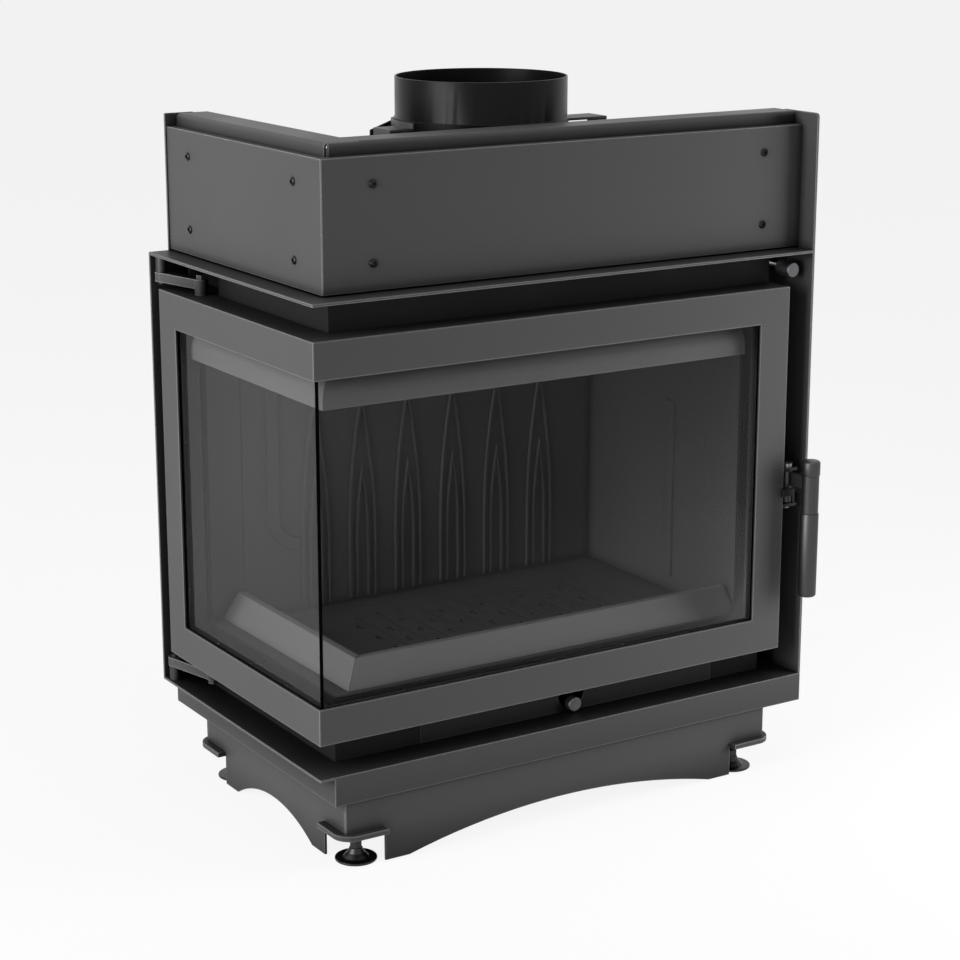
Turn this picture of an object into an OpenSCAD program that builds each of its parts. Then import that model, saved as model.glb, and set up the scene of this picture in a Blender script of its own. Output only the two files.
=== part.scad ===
// Corner fireplace insert with an L-shaped glass door, in millimetres.
// X runs right along the front, Y runs back, Z runs up from the floor.
// Every piece is drawn from the casing's front left corner, and place() moves
// it so that the origin is under the middle of the whole outline.

/* [Casing] */
// Width of the casing along the front
casing_w = 670; // [650:1:740]
// Depth of the casing along the left side
casing_d = 405; // [400:1:470]
// Height of the tray's top face above the floor
tray_z = 115; // [108:1:135]
// Height of the lip's top face above the floor
lip_z = 640; // [630:1:740]
// Height of the hood plates above the lip
hood_h = 160; // [150:1:180]
// Thickness of the casing sheets
sheet_t = 3; // [2:0.5:4]
// Thickness of the lip plate
lip_t = 3.5; // [3:0.5:5]
// Width of the lip plate's front and left legs
lip_leg = 62; // [60:1:68]
// Height of the skirt round the tray
skirt_h = 35; // [28:1:45]
// Set-back of the skirt under the tray's left edge
skirt_in = 18; // [10:1:24]
// Set-back of the hood's left end plate above the lip
end_in = 25; // [12:1:26]

/* [Door] */
// Gap between the tray and the door
door_low_gap = 39; // [36:1:44]
// Gap between the door and the lip
door_top_gap = 40; // [38:1:46]
// Gap between the door's latch edge and the casing's right side
latch_gap = 36; // [35:1:40]
// Gap between the door's hinge edge and the casing's rear
hinge_gap = 25; // [24:1:34]
// Depth of the door frame
door_t = 36; // [32:1:37]
// Face width of the rails and stiles
rail_w = 42; // [38:1:50]
// Thickness of the frame's face flange
face_t = 3; // [2:0.5:5]
// Width of the rebate behind the flange
rebate = 14; // [12:1:17]
// Overlap of the glass behind the flange
glass_lap = 12; // [8:1:12]
// Thickness of the glass
glass_t = 4; // [3:0.5:5]
// Diameter of the hinge pins
pin_d = 8; // [6:1:10]
// Width of the hinge arms
arm_w = 16; // [14:1:17]
// Thickness of the hinge arms
arm_t = 11; // [8:1:12]

/* [Handle] */
// Diameter of the grip and the cap
grip_d = 22; // [18:1:26]
// Diameter of the neck between them
neck_d = 20.5; // [16:0.5:22]
// Length of the grip
grip_h = 103.5; // [80:0.5:130]
// Length of the neck
neck_h = 46.5; // [45:0.5:60]
// Length of the cap
cap_h = 18; // [14:1:24]
// Distance of the grip's axis in front of the door's face
grip_out = 28; // [26:1:40]

/* [Firebox] */
// Set-back of the firebox behind the casing's front and left edges
recess = 40; // [38:1:46]
// Thickness of the firebox steel
shell_t = 4; // [3:0.5:5]
// Air gap between the firebox and the rear plate
rear_air = 18; // [14:1:30]
// Air gap between the firebox and the side plate
side_air = 44; // [42:1:55]
// Height of the firebox floor above the tray
floor_air = 21; // [19:1:26]
// Height of the hearth above the firebox floor
hearth_h = 42; // [36:1:43]
// Thickness of the lining plates
lining_t = 12; // [8:1:16]
// Thickness of the grate
grate_t = 10; // [6:1:12]
// Height of the log guards
guard_h = 30; // [20:1:50]
// Thickness of the smoke baffle
baffle_t = 25; // [20:1:30]

/* [Flue] */
// Outer diameter of the flue collar
collar_d = 200; // [180:1:206]
// Wall of the flue collar
collar_wall = 2; // [1.5:0.5:4]
// Height of the flue collar above the smoke dome
collar_h = 84; // [70:1:110]
// Distance of the collar's centre from the casing's left edge
collar_x = 335; // [325:1:350]
// Distance of the collar's centre from the casing's front edge
collar_y = 206; // [200:1:210]
// Height of the smoke dome above the lip
dome_h = 120; // [112:1:124]
// Outer diameter of the air inlet
inlet_d = 125; // [118:1:150]
// Distance of the air inlet's centre from the casing's rear
inlet_back = 183; // [178:1:186]

/* [Base] */
// Set-back of the base from the casing's left edge
base_left_in = 32; // [26:1:45]
// Set-back of the base from the casing's right edge
base_right_in = 54; // [30:1:80]
// Set-back of the base from the casing's rear edge
base_rear_in = 52; // [30:1:70]
// Rise of the arches in the base
arch_h = 26; // [12:1:32]
// Width of the corner notches in the base
notch = 50; // [46:1:60]
// Diameter of the levelling feet
pad_d = 48; // [36:1:52]
// Height of the corner brackets above the floor
bracket_z = 37; // [32:1:44]

/* [Hidden] */
$fn = 64;

// Overrun of every cut, gap of seated pieces and radial play of shafts
over = 1;
gap = 0.3;
play = 0.05;

// Outline of the door, its leaf heights and the glass planes
door_w = casing_w - latch_gap;
door_d = casing_d - hinge_gap;
door_z = tray_z + door_low_gap;
door_top = lip_z - door_top_gap;
body_w = rail_w - rebate;
glass_back = face_t + glass_t;
lip_under = lip_z - lip_t;
casing_top = lip_z + hood_h;
plate_x = casing_w - sheet_t;
plate_y = casing_d - sheet_t;

// Hinge axis in from the casing's left edge and behind the door's edge
hinge_x = 9;
hinge_back = 9;
hinge_y = door_d + hinge_back;
arm_in = 26;
arm_reach = 71;
arm_end = [arm_in, hinge_y - arm_reach];
arm_top_gap = 7;
arm_low_gap = 10;
arm_top_z = door_top + arm_top_gap;
arm_low_z = door_z - arm_low_gap - arm_t;
pin_over = 3;
bar_share = 0.9;
shoulder_d = 14;
arm_screw_d = 13;
arm_screw_h = 5;

// Latch pivot on the door's edge and the handle's axis
pivot_out = 14;
pivot_in = 12;
pivot = [door_w + pivot_out, pivot_in];
grip_side = 4;
grip_axis = [pivot[0] + grip_side, -grip_out];
grip_rise = 239;
grip_top = door_z + grip_rise;
neck_z = grip_top - cap_h - neck_h;
core_d = 10;
core_reach = 10;
chamfer = 2;
barrel_d = 14;
ear_t = 4;
ear_low_drop = 63;
ear_top_drop = 19;
ear_low_z = grip_top - ear_low_drop;
ear_top_z = grip_top - ear_top_drop;
ear_reach = 9;
lever_t = 6;
lever_drop = 37;
lever_h = 16;
lug_h = 18;
lug_reach = 12;
hook_w = 5;
hook_y = 34;
nose_w = 9.5;
nose_t = 5.5;
hook_drop = 48;
hook_h = 15;
tab_t = 3;
tab_w = 18;
tab_h = 9;
tab_hook = 8;
latch_pin_head_d = 13;
latch_pin_head_h = 4.5;

// Walls of the firebox in plan, and the heights of its opening
shell_x = plate_x - side_air;
shell_y = plate_y - rear_air;
in_x = recess + shell_t;
wall_x = shell_x - shell_t;
wall_y = shell_y - shell_t;
lining_x = wall_x - lining_t;
lining_y = wall_y - lining_t;
floor_z = tray_z + floor_air;
well_z = floor_z + shell_t;
hearth_z = well_z + hearth_h;
sill_drop = 6;
head_drop = 5;
sill_z = door_z + rail_w - sill_drop;
head_z = door_top - rail_w - head_drop;
post_in = 5;
post_x = door_w - rail_w + post_in;
post_back = 14;
post_y = door_d - rail_w + post_back;
bay_w = 22;
bay_reach = 86;
bay_y = hinge_y - bay_reach;

// Lower panel with its air slots and the notch for the air rod
panel_left_in = 109;
panel_right_in = 72;
panel_x = [recess + panel_left_in, door_w - panel_right_in];
panel_mid = (panel_x[0] + panel_x[1])/2;
panel_h = 35;
slot_w = 28;
slot_h = 5.3;
slot_places = [59.5, 114];
notch_r = 18;
notch_z = 22;

// Hearth, grate and log guards
rim_front = 18;
rim_left = 32;
guard_left = 19;
guard_front = 5;
guard_x = in_x + guard_left;
guard_y = in_x + guard_front;
guard_run = 21;
guard_t = 9;
guard_reach = guard_run + guard_t;
guard_span = 2*guard_reach;
grate_left = 2;
grate_front = 2;
grate_right = 56;
grate_back = 35;
grate_x = [guard_x + guard_reach + grate_left, lining_x - grate_right];
grate_y = [guard_y + guard_reach + grate_front, lining_y - grate_back];
ledge = 8;
hearth_t = 10;
pan_h = 28;
pan_t = 2;
pan_play = 1;
grate_slot = [5.5, 17];
column_pitch = 29.5;
column_start = 104.3;
grate_columns = floor((grate_x[1] - grate_x[0] - column_start)/column_pitch);
row_pitch = 46;
rows = 4;
row_start = 67;
groove_w = 5;
groove_deep = 1.2;
groove_front = 16;
groove_back = 29;

// Relief of the back lining: lancets, inner lancets and a border
lining_low = gap;
lining_top_drop = 40;
lining_z = [hearth_z + lining_low, door_top - lining_top_drop];
relief = 3;
band = 4;
lancets = 6;
lancet_pitch = 66.2;
lancet_start = 99;
lancet_half = 20;
lancet_low = 78;
lancet_rise = 190;
inner_half = 10;
inner_rise = 95;
border_in = 33;
border_w = 16;
border_r = 44;
end_plate_w = 46;
end_plate_in = 6;
rib_w = 20;
rib_front = 134;
rib_low = 20;
rib_top = 130;

// Air-wash canopy behind the top of the glass
canopy_in = 21.6;
canopy_lip = 12;
canopy_low = 40;
canopy_r = 20;
canopy_t = 3;
canopy_flange = 20;
canopy_side_in = 48;
canopy_rear_in = 36;
baffle_front = 105;

// Smoke dome and its flat top
dome_left = 48;
dome_front = 43;
dome_right = 23;
dome_rear = 12;
dome_x = [recess + dome_left, shell_x - dome_right];
dome_y = [recess + dome_front, shell_y - dome_rear];
dome_wall_h = 90;
dome_top = lip_z + dome_h;
top_margin = [40, 70, 6];

// Damper: shaft height over the dome, crank, rod and knob
shaft_d = 10;
shaft_up = 10;
shaft_z = dome_top + shaft_up;
shaft_over = 4;
flap_t = 2.5;
flap_play = 4;
rod_d = 8;
knob_d = 18;
knob_l = 24;
knob_bore = 14;
damper_in = 17;
damper_rise = 16;
damper_x = plate_x - damper_in;
damper_z = door_top + damper_rise;
damper_knob_y = 14;
damper_rear = 10;
crank_r = 35;
crank_t = 4;
crank_w = 16;
crank_pin_d = 6;
crank_pin_l = 10;
crank_at = crank_r/sqrt(2);
link_t = 3;
link_w = 30;
link_gap = 1.5;
slot_play = 1.4;
link_x = damper_x - link_t/2;
link_top = 8;
guide_t = 3;
guide_h = 20;
guide_front = 70;
guide_back = 72;
guide_y = [guide_front, plate_y - guide_back];

// Straps on the collar's sides that carry the damper's shaft, and on the left
// an upstand along the collar and a gusset behind it
strap_w = 37;
strap_t = 3;
strap_up = 30;
strap_left = 33;
strap_right = 65;
upstand_h = 6;
band_t = 1.5;
band_over = 1;
band_d = collar_d + 2*band_t;
band_h = strap_up + upstand_h + band_over;
gusset_back = 51;
gusset_out = 18;
gusset_in = 20;
gusset_h = [23, 36];

// Air control: rod, knob, shutter and slots over the inlet
air_rise = 10;
air_z = tray_z + air_rise;
air_knob_l = 9.5;
air_knob_bore = 6;
air_knob_y = recess - gap - air_knob_l;
inlet_y = casing_d - inlet_back;
inlet_wall = 2;
inlet_l = 55;
inlet_flange = 12;
port = [70, 16];
port_pitch = 40;
ports = 3;
shutter_t = 3;
shutter_edge = [45, 30];
shutter_w = port[0] + 2*shutter_edge[0];
shutter_d = port_pitch*(ports - 1) + port[1] + port_pitch/2 + 2*shutter_edge[1];
tab_up = 13;
rail_strip = 5;

// Hood: rims, cover panels and their screws
cover_in = 27;
cover_t = 2.5;
cover_low = 2;
cover_h = 143;
rim_top_drop = 0.5;
rim_flange = 40;
rim_bend = 5;
rim_gap = 3.5;
screw_d = 9.5;
screw_h = 2.8;
screw_stem = 5;
screw_near = 62;
screw_far = 56;
screw_rise = 42;

// Base panels, corner brackets and feet
base_low = 2;
base_x = [base_left_in, casing_w - base_right_in];
base_y = [sheet_t, casing_d - base_rear_in];
base_h = tray_z - sheet_t - base_low;
land = 31;
bracket_t = 6.5;
bracket_out = 10;
bracket_r = 22;
bracket_top = bracket_z + bracket_t;
foot_in = 27;
stem_d = 10;
stem_top = 75;
weld_nut_d = 19;
weld_nut_h = 8;
pad_rim = 3;
cone_low_d = 32;
cone_top_d = 16;
cone_top = 14;
hex_d = 15;
hex_h = 8;

// The grip is the foremost point, so it sets the middle of the depth
front_y = grip_axis[1] - grip_d/2;

module place() {
    translate([-casing_w/2, -(casing_d + front_y)/2, 0]) children();
}

module box(low, high) {
    translate(low) cube(high - low);
}

// Turns a piece of the front leg into its match on the left leg
module on_left() {
    mirror([1, -1, 0]) children();
}

// Extrudes an outline drawn as depth and height along the front
module along_front(from, to) {
    translate([from, 0, 0]) rotate([90, 0, 90]) linear_extrude(to - from) children();
}

// Takes away what lies left of the 45 degree line through the point p
module mitred(p, reach, low, high) {
    difference() {
        children();
        translate([p[0], p[1], low - over]) rotate(45) translate([-reach, 0, 0])
            cube([2*reach, reach, high - low + 2*over]);
    }
}

// A flat bar between two bosses, which stand a little proud of its sides
module flat_bar(a, b, w, t) {
    run = b - a;
    side = w*bar_share;
    translate([a[0], a[1], 0]) rotate(atan2(run[1], run[0])) translate([0, -side/2, 0])
        cube([norm(run), side, t]);
    for (p = [a, b]) translate([p[0], p[1], 0]) cylinder(h = t, d = w);
}

// Outline of a base panel with an arch and a notch at each end
module base_outline(len, rise) {
    half = len/2 - notch - land;
    radius = rise > 0 ? (half*half + rise*rise)/(2*rise) : 0;
    difference() {
        square([len, base_h]);
        for (x = [-over, len - notch])
            translate([x, -over]) square([notch + over, bracket_top - base_low + over]);
        if (rise > 0) translate([len/2, rise - radius]) circle(radius, $fn = 200);
    }
}

module base_across(y, rise) {
    translate([base_x[0], y + sheet_t, base_low]) rotate([90, 0, 0])
        linear_extrude(sheet_t) base_outline(base_x[1] - base_x[0], rise);
}

module base_along(x, rise) {
    len = base_y[1] - base_y[0];
    translate([x, base_y[0], base_low]) rotate([90, 0, 90]) linear_extrude(sheet_t)
        intersection() {
            base_outline(len, rise);
            translate([sheet_t, -over]) square([len - 2*sheet_t, base_h + 2*over]);
        }
}

module base_front() {
    color("#3a3a3a") place() base_across(base_y[0], arch_h);
}

module base_left() {
    color("#6a6a6a") place() base_along(base_x[0], arch_h);
}

module base_right() {
    color("#3a3a3a") place() base_along(base_x[1] - sheet_t, 0);
}

module base_rear() {
    color("#3a3a3a") place() base_across(base_y[1] - sheet_t, 0);
}

// Puts a piece at corner i of the base, turned so that it points inward
module at_corner(i) {
    corners = [[base_x[0], base_y[0]], [base_x[1], base_y[0]],
        [base_x[1], base_y[1]], [base_x[0], base_y[1]]];
    translate([corners[i][0], corners[i][1], 0]) rotate(90*i) children();
}

module foot_brackets() {
    side = notch - gap + bracket_out;
    color("#4a4a4a") place() for (i = [0 : 3]) at_corner(i) difference() {
        union() {
            translate([-bracket_out, -bracket_out, bracket_z]) linear_extrude(bracket_t) {
                translate([bracket_r, 0]) square([side - bracket_r, side]);
                translate([0, bracket_r]) square([side, side - bracket_r]);
                translate([bracket_r, bracket_r]) circle(bracket_r);
            }
            translate([foot_in, foot_in, bracket_top])
                cylinder(h = weld_nut_h, d = weld_nut_d, $fn = 6);
        }
        translate([foot_in, foot_in, bracket_z - over])
            cylinder(h = bracket_t + weld_nut_h + 2*over, d = stem_d + 2*play);
    }
}

// Levelling foot: pad, cone, hexagon and threaded stem
module levelling_foot(i) {
    color("#2a2a2a") place() at_corner(i) translate([foot_in, foot_in, 0]) {
        rotate_extrude() polygon([[0, 0], [pad_d/2, 0], [pad_d/2, pad_rim],
            [cone_low_d/2, pad_rim], [cone_top_d/2, cone_top], [stem_d/2, cone_top],
            [stem_d/2, stem_top], [0, stem_top]]);
        translate([0, 0, cone_top]) cylinder(h = hex_h, d = hex_d, $fn = 6);
    }
}

module foot_front_left() levelling_foot(0);

module foot_front_right() levelling_foot(1);

module foot_rear_right() levelling_foot(2);

module foot_rear_left() levelling_foot(3);

// Slots of the inlet, closed or opened by a shift of half a pitch
module ports_at(shift, low, high) {
    for (i = [0 : ports - 1])
        translate([panel_mid - port[0]/2,
            inlet_y + (i - (ports - 1)/2)*port_pitch - port[1]/2 + shift, low])
            cube([port[0], port[1], high - low]);
}

// Floor plate of the casing with its skirt and the shutter's guide strips
module tray() {
    low = tray_z - sheet_t;
    color("#3c3c3c") place() difference() {
        union() {
            box([0, 0, low], [casing_w, casing_d, tray_z]);
            box([skirt_in, 0, tray_z - skirt_h], [casing_w, sheet_t, tray_z]);
            box([skirt_in, plate_y, tray_z - skirt_h], [casing_w, casing_d, tray_z]);
            box([skirt_in, 0, tray_z - skirt_h], [skirt_in + sheet_t, casing_d, tray_z]);
            box([plate_x, 0, tray_z - skirt_h], [casing_w, casing_d, tray_z]);
            for (side = [-1, 1])
                translate([panel_mid + side*(shutter_w/2 + gap + rail_strip/2) - rail_strip/2,
                    inlet_y - shutter_d/2 - port_pitch/2, low])
                    cube([rail_strip, shutter_d + port_pitch, sheet_t + rail_strip]);
        }
        ports_at(0, low - over, tray_z + over);
        translate([hinge_x, hinge_y, low - over]) cylinder(h = sheet_t + 2*over, d = pin_d);
    }
}

// Right side plate of the casing. Over the lip only a strip of it closes the
// end of the hood, with a rounded top corner
module side_plate() {
    tall = casing_top - tray_z;
    color("#565656") place() translate([plate_x, 0, tray_z]) rotate([90, 0, 90])
        linear_extrude(sheet_t) {
            square([casing_d, lip_z - tray_z]);
            square([lip_leg, tall - rim_bend]);
            translate([rim_bend, 0]) square([lip_leg - rim_bend, tall]);
            translate([rim_bend, tall - rim_bend]) circle(rim_bend);
        }
}

// Rear plate, with the strip that closes the left end of the hood
module rear_plate() {
    color("#3c3c3c") place() {
        box([0, plate_y, tray_z], [plate_x, casing_d, lip_z]);
        box([end_in, plate_y, tray_z], [lip_leg, casing_d, casing_top]);
    }
}

module lip_frame() {
    color("#707070") place() difference() {
        union() {
            box([0, 0, lip_under], [plate_x, lip_leg, lip_z]);
            box([0, 0, lip_under], [lip_leg, plate_y, lip_z]);
        }
        translate([hinge_x, hinge_y, lip_under - over]) cylinder(h = lip_t + 2*over, d = pin_d);
    }
}

// Two hinge pins, each with a shoulder that keeps its arm off the casing
module hinge_pins() {
    color("#8a8a8a") place() translate([hinge_x, hinge_y, 0]) {
        translate([0, 0, tray_z - sheet_t])
            cylinder(h = arm_low_z + arm_t + pin_over - tray_z + sheet_t, d = pin_d);
        translate([0, 0, tray_z]) cylinder(h = arm_low_z - gap - tray_z, d = shoulder_d);
        translate([0, 0, arm_top_z - pin_over])
            cylinder(h = lip_z - arm_top_z + pin_over, d = pin_d);
        translate([0, 0, arm_top_z + arm_t + gap])
            cylinder(h = lip_under - arm_top_z - arm_t - gap, d = shoulder_d);
    }
}

// Welded firebox: walls, floor, top plate and a bay for the upper hinge arm
module firebox_shell() {
    color("#2c2c2c") place() difference() {
        union() {
            difference() {
                box([recess, recess, tray_z], [shell_x, shell_y, lip_under]);
                box([in_x, in_x, tray_z - over], [wall_x, wall_y, lip_under + over]);
            }
            box([recess, recess, floor_z], [shell_x, shell_y, well_z]);
            box([recess, recess, lip_under - shell_t], [shell_x, shell_y, lip_under]);
            box([recess, recess, tray_z], [door_w, in_x, lip_under]);
            box([recess, bay_y - shell_t, door_top - shell_t],
                [in_x + bay_w, shell_y, lip_under]);
        }
        box([recess - over, recess - over, sill_z], [post_x, in_x + over, head_z]);
        box([recess - over, recess - over, sill_z], [in_x + over, post_y, head_z]);
        box([recess - over, bay_y, door_top], [recess + bay_w, wall_y, lip_under + over]);
        box([panel_x[0], recess - over, tray_z - over],
            [panel_x[1], in_x + over, tray_z + panel_h]);
        box([dome_x[0] + shell_t, dome_y[0] + shell_t, lip_under - shell_t - over],
            [dome_x[1] - shell_t, dome_y[1] - shell_t, lip_under + over]);
    }
}

// Lift-off panel under the door, with air slots along its top edge
module lower_panel() {
    color("#454545") place() difference() {
        box([panel_x[0] + gap, recess, tray_z],
            [panel_x[1] - gap, recess + sheet_t, tray_z + panel_h]);
        for (side = [-1, 1], off = slot_places)
            translate([panel_mid + side*off - slot_w/2, recess - over,
                tray_z + panel_h - slot_h])
                cube([slot_w, sheet_t + 2*over, slot_h + over]);
        translate([panel_mid, recess - over, tray_z + notch_z]) rotate([-90, 0, 0])
            cylinder(h = sheet_t + 2*over, r = notch_r);
        translate([panel_mid - notch_r, recess - over, tray_z + notch_z])
            cube([2*notch_r, sheet_t + 2*over, panel_h]);
    }
}

// Cast hearth: a hollow block with a raised rim, a seat for the grate and a
// well for the ash pan
module hearth_plate() {
    under = hearth_z - hearth_t;
    low = [in_x, in_x];
    high = [wall_x, wall_y];
    color("#242424") place() difference() {
        union() {
            box([low[0], low[1], well_z], [high[0], high[1], hearth_z]);
            box([low[0], low[1], well_z], [lining_x, low[1] + rim_front, sill_z]);
            box([low[0], low[1], well_z], [low[0] + rim_left, lining_y, sill_z]);
        }
        difference() {
            box([low[0] + ledge, low[1] + ledge, well_z - over],
                [high[0] - ledge, high[1] - ledge, under]);
            box([grate_x[0] - ledge, grate_y[0] - ledge, well_z - 2*over],
                [grate_x[1] + ledge, grate_y[1] + ledge, under + over]);
        }
        box([grate_x[0] - gap, grate_y[0] - gap, hearth_z - grate_t],
            [grate_x[1] + gap, grate_y[1] + gap, hearth_z + over]);
        box([grate_x[0] + ledge, grate_y[0] + ledge, well_z - over],
            [grate_x[1] - ledge, grate_y[1] - ledge, hearth_z]);
    }
}

// Cast grate with staggered slots and shallow grooves between them
module grate() {
    low = hearth_z - grate_t;
    color("#303030") place() difference() {
        box([grate_x[0], grate_y[0], low], [grate_x[1], grate_y[1], hearth_z]);
        for (i = [0 : grate_columns - 1]) {
            x = grate_x[0] + column_start + i*column_pitch;
            for (j = [0 : rows - 1])
                translate([x - grate_slot[0]/2,
                    grate_y[1] - row_start - (j + (i % 2)/2)*row_pitch - grate_slot[1]/2,
                    low - over])
                    cube([grate_slot[0], grate_slot[1], grate_t + 2*over]);
            box([x + column_pitch/2 - groove_w/2, grate_y[0] + groove_front,
                hearth_z - groove_deep],
                [x + column_pitch/2 + groove_w/2, grate_y[1] - groove_back, hearth_z + over]);
        }
    }
}

module ash_pan() {
    inset = ledge + pan_play;
    low = [grate_x[0] + inset, grate_y[0] + inset, well_z];
    high = [grate_x[1] - inset, grate_y[1] - inset, well_z + pan_h];
    wall = [pan_t, pan_t, pan_t];
    color("#5a5a5a") place() difference() {
        box(low, high);
        box(low + wall, [high[0] - pan_t, high[1] - pan_t, high[2] + over]);
    }
}

// Sloped side of a log guard: its foot at zero, leaning into the fire
module guard_outline() {
    polygon([[0, 0], [guard_t, 0], [guard_run + guard_t, guard_h], [guard_run, guard_h]]);
}

module log_guard_front() {
    color("#262626") place()
        mitred([guard_x + gap, guard_y], guard_span, sill_z, sill_z + guard_h)
        translate([0, guard_y, sill_z]) along_front(guard_x, lining_x - gap - relief)
        guard_outline();
}

module log_guard_left() {
    color("#6e6e6e") place() on_left()
        mitred([guard_y + gap, guard_x], guard_span, sill_z, sill_z + guard_h)
        translate([0, guard_x, sill_z]) along_front(guard_y, lining_y - gap - relief)
        guard_outline();
}

// Pointed arch: the shared part of two circles over straight legs
module lancet(half, rise, leg) {
    radius = (rise*rise + half*half)/(2*half);
    intersection() {
        translate([half - radius, 0]) circle(radius, $fn = 360);
        translate([radius - half, 0]) circle(radius, $fn = 360);
        translate([-half, 0]) square([2*half, rise]);
    }
    translate([-half, -leg]) square([2*half, leg + over]);
}

module lancet_band(half, rise, leg) {
    difference() {
        lancet(half, rise, leg);
        translate([0, -over]) lancet(half - band, rise - rise*band/half/2, leg);
    }
}

// Cast back lining: a plain end plate and a plate with raised lancets
module back_lining() {
    seam = in_x + end_plate_in + end_plate_w;
    color("#3a3a3a") place() {
        box([in_x + end_plate_in, lining_y, lining_z[0]], [seam - gap, wall_y, lining_z[1]]);
        box([seam, lining_y, lining_z[0]], [lining_x, wall_y, lining_z[1]]);
        translate([seam, lining_y, hearth_z]) rotate([90, 0, 0]) linear_extrude(relief) {
            for (i = [0 : lancets - 1])
                translate([lancet_start + i*lancet_pitch, lancet_low]) {
                    lancet_band(lancet_half, lancet_rise, lancet_low - band);
                    lancet_band(inner_half, inner_rise, lancet_low - band);
                }
            translate([border_in, lancet_low + border_r])
                square([border_w, lancet_rise]);
            intersection() {
                difference() {
                    translate([border_in + border_r, lancet_low + border_r]) circle(border_r);
                    translate([border_in + border_r, lancet_low + border_r])
                        circle(border_r - border_w);
                }
                translate([border_in, lancet_low]) square([border_r, border_r]);
            }
        }
    }
}

module right_lining() {
    color("#2e2e2e") place() {
        box([lining_x, guard_y, lining_z[0]], [wall_x, wall_y, lining_z[1]]);
        translate([lining_x, guard_y + rib_front, lining_z[0] + rib_low])
            box([-relief, 0, 0], [0, rib_w, lining_z[1] - lining_z[0] - rib_low - rib_top]);
    }
}

// Outline of the canopy: a lip, a quarter bend and a flange under the wall
module canopy_outline() {
    top = head_z - gap;
    bend_z = top - canopy_r;
    translate([canopy_in, bend_z - canopy_lip]) square([canopy_t, canopy_lip]);
    intersection() {
        difference() {
            translate([canopy_in + canopy_r, bend_z]) circle(canopy_r);
            translate([canopy_in + canopy_r, bend_z]) circle(canopy_r - canopy_t);
        }
        translate([canopy_in, bend_z]) square([canopy_r, canopy_r]);
    }
    translate([canopy_in + canopy_r, top - canopy_t]) square([canopy_flange, canopy_t]);
}

// Sheet canopy that sends air down the inside of both panes
module air_wash_canopy() {
    reach = canopy_r + canopy_flange;
    low = head_z - canopy_low;
    corner = [canopy_in, canopy_in];
    color("#8c8c8c") place() {
        mitred(corner, 2*reach, low, head_z)
            along_front(canopy_in, door_w - canopy_side_in) canopy_outline();
        on_left() mitred(corner, 2*reach, low, head_z)
            along_front(canopy_in, door_d - canopy_rear_in) canopy_outline();
    }
}

// Baffle that rests on the tops of the linings
module smoke_baffle() {
    color("#9a8f7c") place()
        box([in_x + bay_w, in_x + baffle_front, lining_z[1]],
            [wall_x, wall_y, lining_z[1] + baffle_t]);
}

// Solid dome, drawn in from its outline by the inset
module dome_form(inset) {
    foot = lip_under - inset*over;
    slope_z = lip_under + dome_wall_h;
    top = dome_top - inset;
    side = collar_d/2;
    intersection() {
        translate([0, dome_y[1] - inset, 0]) rotate([90, 0, 0])
            linear_extrude(dome_y[1] - dome_y[0] - 2*inset)
            polygon([[dome_x[0] + inset, foot], [dome_x[1] - inset, foot],
                [dome_x[1] - inset, slope_z], [collar_x + side + top_margin[1], top],
                [collar_x - side - top_margin[0], top], [dome_x[0] + inset, slope_z]]);
        along_front(dome_x[0], dome_x[1])
            polygon([[dome_y[0] + inset, foot], [dome_y[1] - inset, foot],
                [dome_y[1] - inset, slope_z], [collar_y + side + top_margin[2], top],
                [collar_y - side - top_margin[2], top], [dome_y[0] + inset, slope_z]]);
    }
}

module smoke_dome() {
    color("#202020") place() difference() {
        dome_form(0);
        dome_form(shell_t);
        translate([collar_x, collar_y, dome_top - shell_t - over])
            cylinder(h = shell_t + 2*over, d = collar_d - 2*collar_wall, $fn = 128);
    }
}

// Flue collar: a tube with a thicker foot on the dome, and bores for the
// damper's shaft through both
module flue_collar() {
    color("#343434") place() difference() {
        translate([collar_x, collar_y, dome_top]) difference() {
            union() {
                cylinder(h = collar_h, d = collar_d, $fn = 128);
                cylinder(h = band_h, d = band_d, $fn = 128);
            }
            translate([0, 0, -over])
                cylinder(h = collar_h + 2*over, d = collar_d - 2*collar_wall, $fn = 128);
        }
        translate([collar_x - collar_d, collar_y, shaft_z]) rotate([0, 90, 0])
            cylinder(h = 2*collar_d, d = shaft_d + 2*play);
    }
}

// Outline of a hood rim: an upright web, a bend and a flange on top
module rim_outline() {
    top = casing_top - rim_top_drop;
    translate([recess, lip_z]) square([sheet_t, top - rim_bend - lip_z]);
    translate([recess + rim_bend, top - sheet_t]) square([rim_flange - rim_bend, sheet_t]);
    intersection() {
        difference() {
            translate([recess + rim_bend, top - rim_bend]) circle(rim_bend);
            translate([recess + rim_bend, top - rim_bend]) circle(rim_bend - sheet_t);
        }
        translate([recess, top - rim_bend]) square([rim_bend, rim_bend]);
    }
}

module hood_rim_front() {
    color("#5c5c5c") place() along_front(recess + rim_flange + gap, plate_x) rim_outline();
    color("#5c5c5c") place() along_front(recess + rim_gap, recess + rim_flange + over)
        intersection() {
            rim_outline();
            translate([0, lip_z]) square([recess + sheet_t, hood_h]);
        }
}

module hood_rim_left() {
    color("#8a8a8a") place() on_left() along_front(recess + sheet_t + gap, plate_y) rim_outline();
}

// Cover panel with folded edges against the rim's web, mitred at the corner
module cover(to) {
    low = lip_z + cover_low;
    fold = recess - cover_in;
    mitred([cover_in, cover_in], 2*fold, low, low + cover_h) difference() {
        box([cover_in, cover_in, low], [to, recess, low + cover_h]);
        box([cover_in - over, cover_in + cover_t, low + cover_t],
            [to - cover_t, recess + over, low + cover_h - cover_t]);
        at_screws(to) translate([0, 0, -cover_t - over])
            cylinder(h = cover_t + 2*over, d = screw_stem);
    }
}

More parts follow.
